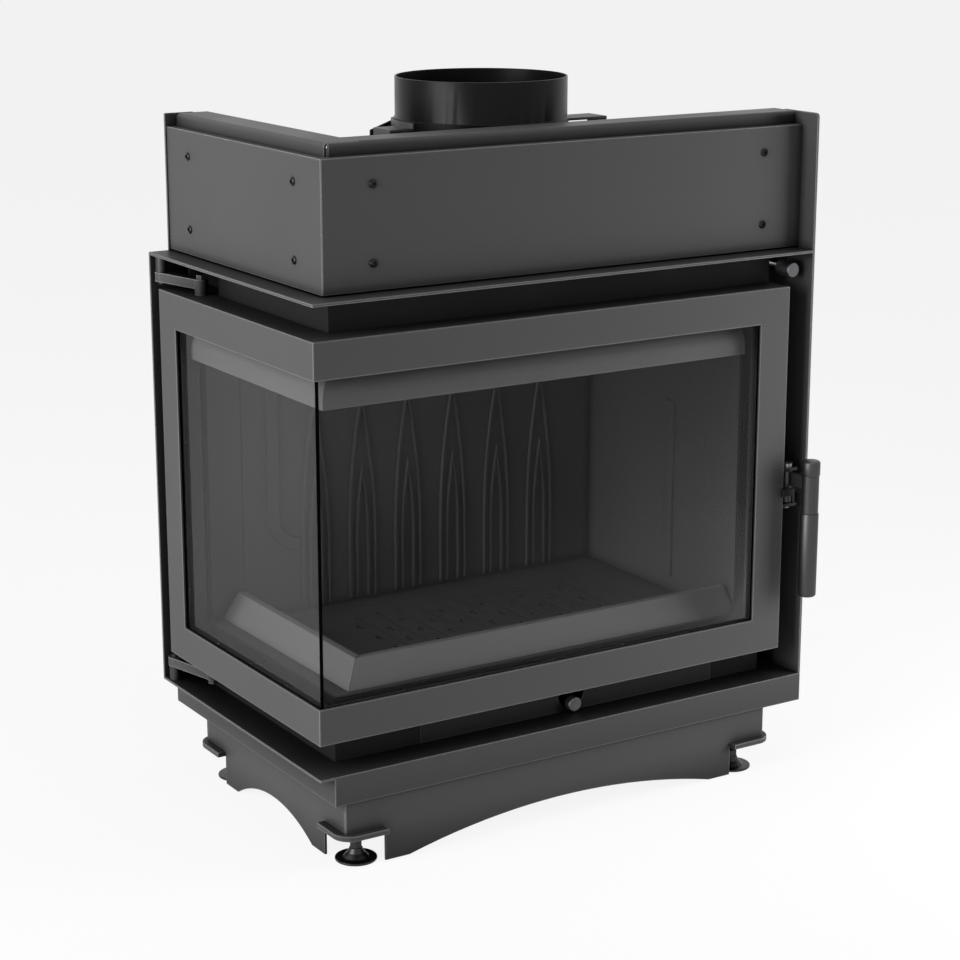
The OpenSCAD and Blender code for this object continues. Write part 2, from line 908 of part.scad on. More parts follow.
// Runs its children at the four screw places of a cover panel
module at_screws(to) {
    mid = lip_z + cover_low + cover_h/2;
    for (x = [cover_in + screw_near, to - screw_far], side = [-1, 1])
        translate([x, cover_in, mid + side*screw_rise]) rotate([90, 0, 0]) children();
}

// Button head with a hexagon socket, and its stem through the panel
module cover_screw() {
    difference() {
        union() {
            rotate_extrude() intersection() {
                translate([0, (screw_h*screw_h - screw_d*screw_d/4)/(2*screw_h)])
                    circle((screw_h*screw_h + screw_d*screw_d/4)/(2*screw_h));
                square([screw_d/2, screw_h]);
            }
            translate([0, 0, -cover_t - over]) cylinder(h = cover_t + 2*over, d = screw_stem);
        }
        translate([0, 0, screw_h/3]) cylinder(h = screw_h, d = screw_d/3, $fn = 6);
    }
}

module cover_panel_front() {
    color("#4a4a4a") place() cover(plate_x);
}

module cover_panel_left() {
    color("#7c7c7c") place() on_left() cover(plate_y);
}

module cover_screws() {
    color("#202020") place() {
        at_screws(plate_x) cover_screw();
        on_left() at_screws(plate_y) cover_screw();
    }
}

// Fresh-air inlet under the tray
module inlet_spigot() {
    low = tray_z - sheet_t - inlet_l;
    color("#3a3a3a") place() translate([panel_mid, inlet_y, low]) difference() {
        union() {
            cylinder(h = inlet_l, d = inlet_d, $fn = 96);
            translate([0, 0, inlet_l - sheet_t])
                cylinder(h = sheet_t, d = inlet_d + 2*inlet_flange, $fn = 96);
        }
        translate([0, 0, -over])
            cylinder(h = inlet_l + 2*over, d = inlet_d - 2*inlet_wall, $fn = 96);
    }
}

// Two folded straps, welded to the collar, that stand on the dome and carry
// the damper's shaft in their folds
module damper_bearings() {
    side = collar_d/2;
    top = dome_top + strap_up;
    low = [collar_x - side - strap_left, collar_y - strap_w/2, dome_top];
    high = [collar_x + side + strap_right, collar_y + strap_w/2, top];
    gusset_y = collar_y + gusset_back + strap_t;
    gusset_x = [collar_x - side - gusset_out, collar_x - side + gusset_in];
    color("#6a6a6a") place() difference() {
        union() {
            box([low[0], low[1], top - strap_t], high);
            box(low, [low[0] + strap_t, high[1], top]);
            box([high[0] - strap_t, low[1], dome_top], high);
            intersection() {
                translate([collar_x, collar_y, top - strap_t])
                    cylinder(h = strap_t + upstand_h, d = band_d + 2*strap_t, $fn = 128);
                box([low[0], low[1], dome_top], [collar_x, gusset_y, top + upstand_h]);
            }
            translate([0, gusset_y, dome_top]) rotate([90, 0, 0]) linear_extrude(strap_t)
                polygon([[gusset_x[0], 0], [gusset_x[0], gusset_h[0]],
                    [gusset_x[1], gusset_h[1]], [gusset_x[1], 0]]);
        }
        translate([collar_x, collar_y, dome_top - over])
            cylinder(h = strap_up + upstand_h + 2*over, d = band_d, $fn = 128);
        translate([low[0] - over, collar_y, shaft_z]) rotate([0, 90, 0])
            cylinder(h = high[0] - low[0] + 2*over, d = shaft_d + 2*play);
    }
}

// Shaft through the collar, with the crank that the rod's link drives
module damper_shaft() {
    from = collar_x - collar_d/2 - strap_left - shaft_over;
    crank_x = link_x - link_gap - crank_t;
    color("#7a7a7a") place() {
        translate([from, collar_y, shaft_z]) rotate([0, 90, 0])
            cylinder(h = crank_x + crank_t/2 - from, d = shaft_d);
        translate([crank_x, collar_y, shaft_z]) rotate([-45, 0, 0])
            translate([0, -crank_w/2, -crank_w/2]) cube([crank_t, crank_r + crank_w, crank_w]);
        translate([crank_x + crank_t/2, collar_y + crank_at, shaft_z - crank_at])
            rotate([0, 90, 0]) cylinder(h = crank_pin_l - crank_t/2, d = crank_pin_d);
    }
}

// Round flap seated on the shaft
module damper_flap() {
    color("#4c4c4c") place() translate([collar_x, collar_y, shaft_z + shaft_d/2])
        cylinder(h = flap_t, r = collar_d/2 - collar_wall - flap_play, $fn = 128);
}

// Pull rod beside the firebox, with the upright link that turns the crank
module damper_rod() {
    link_y = collar_y + crank_at;
    low = shaft_z - crank_r - crank_pin_d/2 - slot_play;
    high = shaft_z - crank_at + crank_pin_d/2 + slot_play;
    color("#8a8a8a") place() {
        translate([damper_x, damper_knob_y + knob_l - knob_bore, damper_z]) rotate([-90, 0, 0])
            cylinder(h = plate_y - damper_rear - damper_knob_y - knob_l + knob_bore, d = rod_d);
        difference() {
            box([link_x, link_y - link_w/2, damper_z],
                [link_x + link_t, link_y + link_w/2, high + link_top]);
            box([link_x - over, link_y - crank_pin_d/2 - slot_play, low],
                [link_x + link_t + over, link_y + crank_pin_d/2 + slot_play, high]);
        }
    }
}

// Turned knob facing the front, with a blind bore for its rod
module knob(x, y, z, len, bore) {
    edge = chamfer/2;
    translate([x, y, z]) rotate([-90, 0, 0]) difference() {
        rotate_extrude() polygon([[0, 0], [knob_d/2 - edge, 0], [knob_d/2, edge],
            [knob_d/2, len], [0, len]]);
        translate([0, 0, len - bore]) cylinder(h = bore + over, d = rod_d);
    }
}

module damper_knob() {
    color("#5e5e5e") place() knob(damper_x, damper_knob_y, damper_z, knob_l, knob_bore);
}

// Guides of the damper rod, welded to the side plate
module rod_guides() {
    color("#3a3a3a") place() for (y = guide_y) difference() {
        box([damper_x - rod_d, y, damper_z - guide_h/2],
            [plate_x, y + guide_t, damper_z + guide_h/2]);
        translate([damper_x, y - over, damper_z]) rotate([-90, 0, 0])
            cylinder(h = guide_t + 2*over, d = rod_d + 2*play);
    }
}

shutter_y = inlet_y + port_pitch/4 - shutter_d/2;

// Pull rod of the air control, from its knob to the shutter's tab
module air_rod() {
    from = air_knob_y + air_knob_l - air_knob_bore;
    color("#8a8a8a") place() translate([panel_mid, from, air_z]) rotate([-90, 0, 0])
        cylinder(h = shutter_y - from, d = rod_d);
}

module air_knob() {
    color("#5e5e5e") place() knob(panel_mid, air_knob_y, air_z, air_knob_l, air_knob_bore);
}

// Sliding plate that covers the inlet's slots at rest
module air_shutter() {
    low = tray_z + play;
    color("#6a6a6a") place() {
        difference() {
            translate([panel_mid - shutter_w/2, shutter_y, low])
                cube([shutter_w, shutter_d, shutter_t]);
            ports_at(port_pitch/2, low - over, low + shutter_t + over);
        }
        translate([panel_mid - knob_d/2, shutter_y, low]) cube([knob_d, shutter_t, tab_up + rod_d/2]);
    }
}

// Keeper on the side plate that the hook closes against
module latch_keeper() {
    low = grip_top - hook_drop - tab_t;
    tall = hook_h + 2*tab_t;
    color("#909090") place() {
        box([plate_x - tab_t, knob_l/2, low], [plate_x, hook_y + tab_w, low + tall]);
        box([pivot[0] + nose_w + link_gap, hook_y - nose_t - tab_h, low],
            [plate_x, hook_y - nose_t - gap, low + tall]);
    }
}

// Outline of a door rail: a body behind, and a flange that holds the glass
module rail_outline() {
    polygon([[0, 0], [door_t, 0], [door_t, body_w], [face_t, body_w], [face_t, rail_w],
        [0, rail_w]]);
}

module low_rail(len) {
    mitred([0, 0], 2*door_t, door_z, door_z + rail_w)
        translate([0, 0, door_z]) along_front(0, len) rail_outline();
}

module high_rail(len) {
    mitred([0, 0], 2*door_t, door_top - rail_w, door_top)
        translate([0, 0, door_top]) mirror([0, 0, 1]) along_front(0, len) rail_outline();
}

// Stile at the end of a leg: its body runs on between the rails' bodies
module stile(len) {
    box([len - rail_w, 0, door_z + rail_w], [len, face_t, door_top - rail_w]);
    box([len - body_w, 0, door_z + rail_w], [len, door_t, door_top - rail_w]);
    box([len - body_w, face_t, door_z + body_w], [len, door_t, door_top - body_w]);
}

module door_top_front() {
    color("#585858") place() high_rail(door_w);
}

module door_top_left() {
    color("#787878") place() on_left() high_rail(door_d);
}

module door_bottom_front() {
    color("#585858") place() low_rail(door_w);
}

module door_bottom_left() {
    color("#787878") place() on_left() low_rail(door_d);
}

module latch_stile() {
    color("#585858") place() stile(door_w);
}

module hinge_stile() {
    color("#787878") place() on_left() stile(door_d);
}

// A pane of one leg, from its start to its lap behind the stile's flange
module pane(from, len) {
    box([from, face_t, door_z + rail_w - glass_lap],
        [len - rail_w + glass_lap, glass_back, door_top - rail_w + glass_lap]);
}

module front_glass() {
    color("#20242480") place() pane(glass_back + gap, door_w);
}

module side_glass() {
    color("#20242480") place() on_left() pane(face_t, door_d);
}

clamp_t = 6;
clamp_edge = 1;
clamp_w = rebate - clamp_edge;

// Strips of one leg that press the pane from behind
module clamps(from, len) {
    y = [glass_back, glass_back + clamp_t];
    low = door_z + body_w;
    high = door_top - body_w;
    box([from, y[0], low], [len - body_w, y[1], low + clamp_w]);
    box([from, y[0], high - clamp_w], [len - body_w, y[1], high]);
    box([len - body_w - clamp_w, y[0], low + clamp_w + gap],
        [len - body_w, y[1], high - clamp_w - gap]);
}

clamp_from = glass_back + clamp_t + gap;

module glass_clamps() {
    color("#484848") place() {
        clamps(clamp_from, door_w);
        on_left() clamps(glass_back, door_d);
    }
}

clamp_screw_d = 5;
clamp_screw_h = 2;
clamp_pitch = 116;

// Screws of one leg's strips, on the sides that face the fire opening
module leg_screws(from, len) {
    mid = (door_z + door_top)/2;
    y = glass_back + clamp_t/2;
    tall = door_top - door_z - 2*rail_w;
    half = tall/2;
    upright = floor(tall/clamp_pitch) + 1;
    for (k = [0 : upright - 1])
        translate([len - body_w - clamp_w, y, mid - half + (k + 1/2)*tall/upright])
            rotate([0, -90, 0]) cylinder(h = clamp_screw_h, d = clamp_screw_d);
    count = floor((len - from)/clamp_pitch);
    for (i = [0 : count - 1], side = [-1, 1])
        translate([from + (i + 1)*(len - body_w - from)/(count + 1), y,
            mid + side*(half + clamp_edge)])
            rotate([side > 0 ? 180 : 0, 0, 0]) cylinder(h = clamp_screw_h, d = clamp_screw_d);
}

module clamp_screws() {
    color("#a0a0a0") place() {
        leg_screws(clamp_from, door_w);
        on_left() leg_screws(glass_back, door_d);
    }
}

gasket_w = 10;
gasket_in = 12;

// Sealing strip of one leg on the back of the rails and the stile
module leg_gasket(len) {
    y = [door_t, recess - gap];
    low = door_z + gasket_in;
    high = door_top - gasket_in;
    side = len - gasket_in;
    box([y[0], y[0], low], [side, y[1], low + gasket_w]);
    box([y[0], y[0], high - gasket_w], [side, y[1], high]);
    box([side - gasket_w, y[0], low], [side, y[1], high]);
}

module door_gasket() {
    color("#3f3b36") place() {
        leg_gasket(door_w);
        on_left() leg_gasket(door_d);
    }
}

// Two arms that carry the door on the pins, each with its spacer and screw
module hinge_arms() {
    axis = [hinge_x, hinge_y];
    color("#b0b0b0") place() difference() {
        union() {
            translate([0, 0, arm_top_z]) flat_bar(axis, arm_end, arm_w, arm_t);
            translate([0, 0, arm_low_z]) flat_bar(axis, arm_end, arm_w, arm_t);
            translate([arm_end[0], arm_end[1], door_top]) cylinder(h = arm_top_gap, d = arm_w);
            translate([arm_end[0], arm_end[1], door_z - arm_low_gap])
                cylinder(h = arm_low_gap, d = arm_w);
            translate([arm_end[0], arm_end[1], arm_top_z + arm_t])
                cylinder(h = arm_screw_h, d = arm_screw_d, $fn = 6);
            translate([arm_end[0], arm_end[1], arm_low_z - arm_screw_h])
                cylinder(h = arm_screw_h, d = arm_screw_d, $fn = 6);
        }
        for (z = [arm_low_z, arm_top_z])
            translate([hinge_x, hinge_y, z - over])
                cylinder(h = arm_t + 2*over, d = pin_d + 2*play);
    }
}

// Bracket on the door's edge: a back plate, two ears and a front tab
module latch_mount() {
    tab_z = grip_top - hook_drop;
    color("#a8a8a8") place() difference() {
        union() {
            box([door_w, ear_t, ear_low_z], [door_w + tab_t, door_t - ear_t, ear_top_z + ear_t]);
            for (z = [ear_low_z, ear_top_z])
                box([door_w, pivot[1] - ear_reach, z],
                    [pivot[0] + ear_reach, pivot[1] + ear_reach, z + ear_t]);
            box([door_w, -tab_t, tab_z], [door_w + tab_t, ear_t + over, tab_z + tab_h]);
            box([door_w - tab_t, -tab_t, tab_z], [door_w - tab_t + tab_w, 0, tab_z + tab_h]);
            box([door_w - 2*tab_t + tab_w, -tab_t, tab_z - tab_hook],
                [door_w - tab_t + tab_w, 0, tab_z + over]);
        }
        translate([pivot[0], pivot[1], ear_low_z - over])
            cylinder(h = ear_top_z - ear_low_z + ear_t + 2*over, d = pin_d);
    }
}

// Pivot pin of the handle with a round head on top
module latch_pin() {
    color("#d8d8d8") place() translate([pivot[0], pivot[1], 0]) {
        translate([0, 0, ear_low_z - pin_over])
            cylinder(h = ear_top_z + ear_t - ear_low_z + pin_over, d = pin_d);
        translate([0, 0, ear_top_z + ear_t])
            cylinder(h = latch_pin_head_h, d = latch_pin_head_d);
    }
}

// Lever on the pivot: barrel, arm, hook and the core that carries the grip
module handle_lever() {
    barrel_z = ear_low_z + ear_t + gap;
    color("#6c6c6c") place() difference() {
        union() {
            translate([pivot[0], pivot[1], barrel_z])
                cylinder(h = ear_top_z - ear_low_z - ear_t - 2*gap, d = barrel_d);
            translate([0, 0, grip_top - lever_drop])
                flat_bar(pivot, grip_axis, lever_t, lever_h);
            translate([grip_axis[0], grip_axis[1], grip_top - cap_h - lug_h + over])
                rotate(90) translate([0, -lever_t/2, 0])
                cube([lug_reach + neck_d/4, lever_t, lug_h - over]);
            translate([grip_axis[0], grip_axis[1], neck_z]) cylinder(h = neck_h, d = neck_d);
            translate([grip_axis[0], grip_axis[1], neck_z - grip_h + core_reach])
                cylinder(h = grip_h + neck_h + cap_h - 2*core_reach, d = core_d);
            box([pivot[0], pivot[1], grip_top - hook_drop],
                [pivot[0] + hook_w, hook_y, grip_top - hook_drop + hook_h]);
            box([pivot[0], hook_y - nose_t, grip_top - hook_drop],
                [pivot[0] + nose_w, hook_y, grip_top - hook_drop + hook_h]);
        }
        translate([pivot[0], pivot[1], barrel_z - over])
            cylinder(h = ear_top_z - ear_low_z + over, d = pin_d + 2*play);
    }
}

module handle_cap() {
    low = grip_top - cap_h;
    color("#545454") place() translate([grip_axis[0], grip_axis[1], low]) difference() {
        rotate_extrude() polygon([[0, 0], [grip_d/2, 0], [grip_d/2, cap_h - chamfer],
            [grip_d/2 - chamfer, cap_h], [0, cap_h]]);
        translate([0, 0, -over]) cylinder(h = cap_h - core_reach + over, d = core_d);
    }
}

module handle_grip() {
    color("#585858") place() translate([grip_axis[0], grip_axis[1], neck_z - grip_h]) difference() {
        rotate_extrude() polygon([[0, 0], [grip_d/2 - chamfer, 0], [grip_d/2, chamfer],
            [grip_d/2, grip_h], [0, grip_h]]);
        translate([0, 0, core_reach]) cylinder(h = grip_h, d = core_d);
    }
}

base_front();
base_left();
base_right();
base_rear();
foot_brackets();
foot_front_left();
foot_front_right();
foot_rear_right();
foot_rear_left();
tray();
side_plate();
rear_plate();
lip_frame();
hinge_pins();
firebox_shell();
lower_panel();
hearth_plate();
grate();
ash_pan();
log_guard_front();
log_guard_left();
back_lining();
right_lining();
air_wash_canopy();
smoke_baffle();
smoke_dome();
flue_collar();
hood_rim_front();
hood_rim_left();
cover_panel_front();
cover_panel_left();
cover_screws();
inlet_spigot();
damper_bearings();
rod_guides();
damper_shaft();
damper_flap();
damper_rod();
damper_knob();
air_rod();
air_knob();
air_shutter();
latch_keeper();
door_top_front();
door_top_left();
door_bottom_front();
door_bottom_left();
latch_stile();
hinge_stile();
front_glass();
side_glass();
glass_clamps();
clamp_screws();
door_gasket();
hinge_arms();
latch_mount();
latch_pin();
handle_lever();
handle_cap();
handle_grip();
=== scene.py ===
from math import cos, pi, radians, sin

import bmesh
import bpy
from mathutils import Euler, Matrix, Vector


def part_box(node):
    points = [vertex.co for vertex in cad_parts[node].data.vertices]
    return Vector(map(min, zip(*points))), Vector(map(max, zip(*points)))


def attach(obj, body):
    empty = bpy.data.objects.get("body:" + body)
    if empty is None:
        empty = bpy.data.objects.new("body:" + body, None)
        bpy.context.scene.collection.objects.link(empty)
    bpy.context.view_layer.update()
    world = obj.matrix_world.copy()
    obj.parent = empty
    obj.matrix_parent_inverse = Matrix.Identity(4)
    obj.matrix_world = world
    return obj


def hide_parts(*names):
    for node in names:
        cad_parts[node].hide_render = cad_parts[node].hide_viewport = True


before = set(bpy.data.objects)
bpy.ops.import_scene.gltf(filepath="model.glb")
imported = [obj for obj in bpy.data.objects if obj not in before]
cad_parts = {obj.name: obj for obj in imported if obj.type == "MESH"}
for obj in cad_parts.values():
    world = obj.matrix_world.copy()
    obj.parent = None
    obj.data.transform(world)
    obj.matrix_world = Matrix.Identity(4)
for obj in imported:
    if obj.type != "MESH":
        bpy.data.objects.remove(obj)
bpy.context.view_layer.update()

# Edges that turn further than this are sharp: they are eased, and shaded as edges.
sharp_angle = radians(32)
# Points of a CAD mesh that lie closer than this, in metres, are one point.
same_point = 2e-6


# Camera
# The picture is taken from the front left, a little above the hood, with a
# long lens. The casing's front left corner is nearest.
shot = bpy.data.cameras.new("camera")
shot.lens = 88.5
shot.clip_end = 300
camera = bpy.data.objects.new("camera", shot)
camera.location = (-1.463, -2.307, 1.079)
camera.rotation_euler = Euler((radians(90 - 14.62), 0, radians(-32.1)))
bpy.context.collection.objects.link(camera)
bpy.context.scene.camera = camera
bpy.context.scene.view_settings.view_transform = "Standard"


# Floor, background and lamps
# A plain pale studio floor that keeps the shadow and shows almost white,
# under a large soft lamp from the left, a weak one above and a small one from
# the right, which the glass doesn't mirror. Lengths here are in metres.
def hexed(code):
    """An sRGB hex colour as linear RGBA."""
    parts = [int(code[i:i + 2], 16) / 255 for i in (1, 3, 5)]
    return tuple(c / 12.92 if c < 0.04045 else ((c + 0.055) / 1.055) ** 2.4 for c in parts) + (1,)


def add(tree, kind, settings=None, inputs=None):
    """Adds a node with its settings, and sets or links its inputs by name or number."""
    made = tree.nodes.new(kind)
    for key, value in (settings or {}).items():
        setattr(made, key, value)
    for key, value in (inputs or {}).items():
        if isinstance(value, bpy.types.NodeSocket):
            tree.links.new(value, made.inputs[key])
        else:
            made.inputs[key].default_value = value
    return made


def blank(name):
    """A new material's name, its empty node tree and its output node."""
    made = bpy.data.materials.new(name)
    made.use_nodes = True
    made.node_tree.nodes.clear()
    return made, made.node_tree, made.node_tree.nodes.new("ShaderNodeOutputMaterial")


def linked(name, mesh):
    """An object at the origin with this mesh."""
    made = bpy.data.objects.new(name, mesh)
    bpy.context.collection.objects.link(made)
    return made


floor_reach = 90
# The part of its own white that the floor shows to the camera, over what the lamps give it.
floor_white = 0.88
floor_mesh = bpy.data.meshes.new("floor")
floor_mesh.from_pydata([(x * floor_reach, y * floor_reach, 0)
                        for x, y in ((-1, -1), (1, -1), (1, 1), (-1, 1))], [], [(0, 1, 2, 3)])
floor = linked("floor", floor_mesh)
paper, tree, out = blank("studio paper")
seen = add(tree, "ShaderNodeLightPath")
lit = add(tree, "ShaderNodeBsdfDiffuse", inputs={"Color": hexed("#f4f4f4")})
white = add(tree, "ShaderNodeEmission", inputs={"Color": (1, 1, 1, 1), "Strength": 1.0})
through = add(tree, "ShaderNodeMath", {"operation": "MAXIMUM"},
              {0: seen.outputs["Is Glossy Ray"], 1: seen.outputs["Is Transmission Ray"]})
looked = add(tree, "ShaderNodeMath", {"operation": "MAXIMUM"},
             {0: seen.outputs["Is Camera Ray"], 1: through.outputs[0]})
share = add(tree, "ShaderNodeMath", {"operation": "MULTIPLY"}, {0: looked.outputs[0], 1: floor_white})
both = add(tree, "ShaderNodeMixShader",
           inputs={0: share.outputs[0], 1: lit.outputs[0], 2: white.outputs[0]})
tree.links.new(both.outputs[0], out.inputs["Surface"])
floor_mesh.materials.append(paper)

world = bpy.data.worlds.new("studio")
bpy.context.scene.world = world
world.use_nodes = True
tree = world.node_tree
tree.nodes.clear()
seen = add(tree, "ShaderNodeLightPath")
mirror_rays = add(tree, "ShaderNodeMath", {"operation": "MAXIMUM"},
                  {0: seen.outputs["Is Glossy Ray"], 1: seen.outputs["Is Transmission Ray"]})
white_rays = add(tree, "ShaderNodeMath", {"operation": "MAXIMUM"},
                 {0: seen.outputs["Is Camera Ray"], 1: mirror_rays.outputs[0]})
dim = add(tree, "ShaderNodeBackground", inputs={"Color": (1, 1, 1, 1), "Strength": 0.05})
pale = add(tree, "ShaderNodeBackground", inputs={"Color": (1, 1, 1, 1), "Strength": 1.0})
sky = add(tree, "ShaderNodeMixShader",
          inputs={0: white_rays.outputs[0], 1: dim.outputs[0], 2: pale.outputs[0]})
tree.links.new(sky.outputs[0], tree.nodes.new("ShaderNodeOutputWorld").inputs["Surface"])

lamps_aim = Vector((0, 0, 0.42))
for name, place, size, watts in (("left lamp", (-3.3, -0.35, 1.25), 2.0, 135),
                                 ("right lamp", (1.2, -0.85, 0.5), 0.8, 22),
                                 ("top lamp", (0.1, -0.3, 3.2), 2.2, 25)):
    lamp = bpy.data.lights.new(name, "AREA")
    lamp.size, lamp.energy = size, watts
    holder = bpy.data.objects.new(name, lamp)
    holder.location = place
    holder.rotation_euler = (Vector(place) - lamps_aim).to_track_quat("Z", "Y").to_euler()
    holder.visible_glossy = name != "right lamp"
    bpy.context.collection.objects.link(holder)


# Base panels, corner brackets
# Four plain steel panels under the tray, the front and left ones cut to a
# long arch, with a thick bracket welded into each corner notch. Laser-cut
# sheet, powder coated satin black in one go with the casing.
def painted_corner_shade(tree, shade, reach_mm):
    """A shade made darker towards inner corners and recesses: painted shade."""
    near = add(tree, "ShaderNodeAmbientOcclusion", {"samples": 8}, {"Distance": reach_mm / 1000})
    deep = add(tree, "ShaderNodeMath", {"operation": "POWER"}, {0: near.outputs["AO"], 1: 1.5})
    return add(tree, "ShaderNodeMath", {"operation": "MULTIPLY"}, {0: shade, 1: deep.outputs[0]}).outputs[0]


def coated(name, colour, rough, grain_mm, bump_mm, edge_highlight=0.8, gloss_level=0.1, reach_mm=50):
    """Powder coat on steel: a fine orange peel, a slow change in gloss, paler edges as a painted highlight,
    and painted shade towards inner corners.
    """
    made, tree, out = blank(name)
    place = add(tree, "ShaderNodeTexCoord").outputs["Object"]
    peel = add(tree, "ShaderNodeTexNoise", inputs={"Vector": place, "Scale": 1000 / grain_mm,
                                                   "Detail": 3.0, "Roughness": 0.55})
    slow = add(tree, "ShaderNodeTexNoise", inputs={"Vector": place, "Scale": 1000 / 140, "Detail": 2.0})
    gloss = add(tree, "ShaderNodeMapRange", inputs={"Value": slow.outputs["Fac"], "From Min": 0.3,
                                                    "From Max": 0.7, "To Min": rough - 0.05,
                                                    "To Max": rough + 0.05})
    shade = add(tree, "ShaderNodeMapRange", inputs={"Value": peel.outputs["Fac"], "From Min": 0.25,
                                                    "From Max": 0.75, "To Min": 0.94, "To Max": 1.06})
    # The paler edges are a painted highlight: where the rounded normal turns from the flat one, the colour
    # blends to pale grey.
    round_edge = add(tree, "ShaderNodeBevel", {"samples": 4}, {"Radius": 0.002})
    flat = add(tree, "ShaderNodeNewGeometry").outputs["Normal"]
    turn = add(tree, "ShaderNodeVectorMath", {"operation": "DOT_PRODUCT"},
               {0: round_edge.outputs[0], 1: flat})
    painted_edge_highlight = add(tree, "ShaderNodeMapRange", inputs={"Value": turn.outputs["Value"], "From Min": 0.99,
                                                     "From Max": 0.9, "To Min": 0.0, "To Max": edge_highlight})
    base = add(tree, "ShaderNodeMix", {"data_type": "RGBA"},
               {0: painted_edge_highlight.outputs[0], 6: hexed(colour), 7: hexed("#98999b")})
    tone = add(tree, "ShaderNodeHueSaturation",
               inputs={"Color": base.outputs[2], "Value": painted_corner_shade(tree, shade.outputs[0], reach_mm)})
    bump = add(tree, "ShaderNodeBump", inputs={"Height": peel.outputs["Fac"], "Strength": 1.0,
                                               "Distance": bump_mm / 1000})
    skin = add(tree, "ShaderNodeBsdfPrincipled", inputs={
        "Base Color": tone.outputs[0], "Roughness": gloss.outputs[0], "Specular IOR Level": gloss_level,
        "Normal": bump.outputs[0]})
    tree.links.new(skin.outputs[0], out.inputs["Surface"])
    return made


# Orange peel is really about 1 mm across, and is drawn at 2.2 mm so that it shows.
satin_black = coated("satin black powder coat", "#474748", 0.42, 2.2, 0.02)
# The same coat with painted shade reaching 130 mm from inner corners, for the tray and the lower panel.
wide_shade_black = coated("satin black powder coat with wide painted shade", "#474748", 0.42, 2.2, 0.02, reach_mm=130)
# The same coat with painted shade reaching only 12 mm from inner corners, for the side plate and the cover
# panels.
narrow_shade_black = coated("satin black powder coat with narrow painted shade", "#474748", 0.42, 2.2, 0.02, reach_mm=12)


def dressed(node, material):
    """Gives a CAD node its material."""
    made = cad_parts[node]
    made.data.materials.clear()
    made.data.materials.append(material)


# Faces of a CAD mesh that turn less than this are one flat face.
flat_angle = radians(0.4)


def eased(node, body, material, width_mm, steps=2):
    """A merged copy of a CAD node with its sharp edges eased, in place of the node."""
    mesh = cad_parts[node].data.copy()
    shape = bmesh.new()
    shape.from_mesh(mesh)
    bmesh.ops.remove_doubles(shape, verts=shape.verts, dist=same_point)
    bmesh.ops.dissolve_limit(shape, angle_limit=flat_angle, verts=shape.verts, edges=shape.edges)
    shape.to_mesh(mesh)
    shape.free()
    mesh.shade_smooth()
    mesh.set_sharp_from_angle(angle=sharp_angle)
    return finished(node + "_eased", mesh, body, material, width_mm, steps, [node])


def finished(name, mesh, body, material, width_mm, steps, nodes):
    """Bevels a piece's sharp edges, gives it its material and puts it in place of its nodes."""
    raw = linked(name, mesh)
    if width_mm:
        bevel = raw.modifiers.new("eased edges", "BEVEL")
        bevel.width, bevel.segments, bevel.limit_method = width_mm / 1000, steps, "ANGLE"
        bevel.angle_limit, bevel.use_clamp_overlap, bevel.harden_normals = sharp_angle, False, True
    graph = bpy.context.evaluated_depsgraph_get()
    done = bpy.data.meshes.new_from_object(raw.evaluated_get(graph))
    raw.modifiers.clear()
    raw.data = done
    done.materials.clear()
    done.materials.append(material)
    for face in done.polygons:
        face.material_index = 0
    if not width_mm:
        done.shade_smooth()
        done.set_sharp_from_angle(angle=sharp_angle)
    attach(raw, body)
    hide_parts(*nodes)
    return raw


for node in ("base_front", "base_left", "base_right", "base_rear"):
    eased(node, "casing", satin_black, 0.5)
eased("foot_brackets", "casing", satin_black, 0.9)


# Levelling feet
# A pressed pad under a turned cone, a hexagon for the spanner and an M10
# stem screwed up through the bracket. Blackened steel, oiled.
def metal(name, colour, rough, grain_mm, bump_mm=0.01):
    """Bare or blackened metal with the fine marks of its making."""
    made, tree, out = blank(name)
    place = add(tree, "ShaderNodeTexCoord").outputs["Object"]
    marks = add(tree, "ShaderNodeTexNoise", inputs={"Vector": place, "Scale": 1000 / grain_mm,
                                                    "Detail": 4.0})
    gloss = add(tree, "ShaderNodeMapRange", inputs={"Value": marks.outputs["Fac"], "From Min": 0.3,
                                                    "From Max": 0.7, "To Min": rough - 0.07,
                                                    "To Max": rough + 0.07})
    shade = add(tree, "ShaderNodeMapRange", inputs={"Value": marks.outputs["Fac"], "From Min": 0.2,
                                                    "From Max": 0.8, "To Min": 0.8, "To Max": 1.15})
    tone = add(tree, "ShaderNodeHueSaturation", inputs={"Color": hexed(colour), "Value": shade.outputs[0]})
    bump = add(tree, "ShaderNodeBump", inputs={"Height": marks.outputs["Fac"], "Strength": 1.0,
                                               "Distance": bump_mm / 1000})
    skin = add(tree, "ShaderNodeBsdfPrincipled", inputs={
        "Base Color": tone.outputs[0], "Metallic": 1.0, "Roughness": gloss.outputs[0],
        "Normal": bump.outputs[0]})
    tree.links.new(skin.outputs[0], out.inputs["Surface"])
    return made


blackened = metal("blackened steel", "#3a3a3c", 0.38, 1.5)


